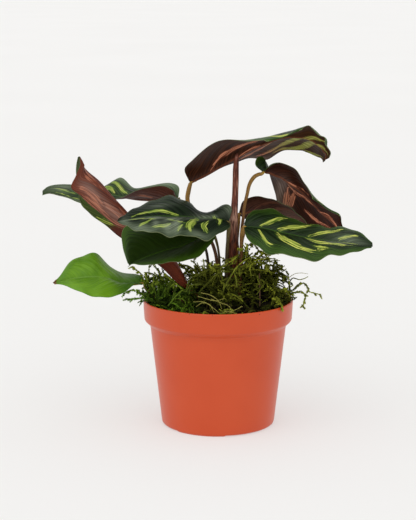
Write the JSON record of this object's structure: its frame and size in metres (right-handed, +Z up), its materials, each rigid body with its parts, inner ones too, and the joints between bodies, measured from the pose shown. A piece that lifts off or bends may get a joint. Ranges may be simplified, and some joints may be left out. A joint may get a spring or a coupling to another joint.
{
  "type": "potted calathea",
  "caption": "Small calathea in a terracotta-coloured nursery pot: striped leaves with wine-red undersides on thin stalks, a rolled new leaf and moss over the soil.",
  "frame": {"origin": "middle of the flat pad under the pot's floor, on the plane that the pot's feet stand on", "axes": "+Z up out of the pot; +X along the plant's widest spread, to the right as seen from the front; the front faces -Y"},
  "size_m": [0.2302, 0.1098, 0.2113],
  "materials": {
    "pot": "smooth moulded plastic, satin, terracotta orange",
    "soil": "loose peat potting soil, matte",
    "crown": "rough brown rootstock",
    "striped_leaf": "satin leaf, dark green with yellow-green feathered stripes above and wine red below",
    "plain_leaf": "satin leaf, plain bright green with fine side veins",
    "stalk": "smooth leaf stalk, ochre at the blade and red-brown below",
    "rolled_leaf": "rolled young leaf, maroon with a grey-pink sheen",
    "moss": "feather moss, yellow-green tips over dark olive",
    "twig": "dry brown twig"
  },
  "bodies": {
    "root": {"pot": "pot", "soil": "soil", "crown": "crown", "leaf_right_front": "striped_leaf", "leaf_left_front": "striped_leaf", "leaf_left_hanging": "striped_leaf", "leaf_left_folded": "striped_leaf", "leaf_left_back": "striped_leaf", "leaf_low_left": "plain_leaf", "leaf_top": "striped_leaf", "leaf_right_drooping": "striped_leaf", "leaf_right_back": "striped_leaf", "stalk_right_front": "stalk", "stalk_left_front": "stalk", "stalk_left_hanging": "stalk", "stalk_left_folded": "stalk", "stalk_left_back": "stalk", "stalk_low_left": "stalk", "stalk_top": "stalk", "stalk_right_drooping": "stalk", "stalk_right_back": "stalk", "new_leaf_rolled": "rolled_leaf", "moss_tuft_01": "moss", "moss_tuft_02": "moss", "moss_tuft_03": "moss", "moss_tuft_04": "moss", "moss_tuft_05": "moss", "moss_tuft_06": "moss", "moss_tuft_07": "moss", "moss_tuft_08": "moss", "moss_tuft_09": "moss", "moss_tuft_10": "moss", "moss_sprig_right_long": "moss", "moss_sprig_right_hanging": "moss", "moss_sprig_right_upper": "moss", "moss_sprig_left": "moss", "moss_sprig_left_low": "moss", "dry_twig": "twig"}
  },
  "joints": []
}
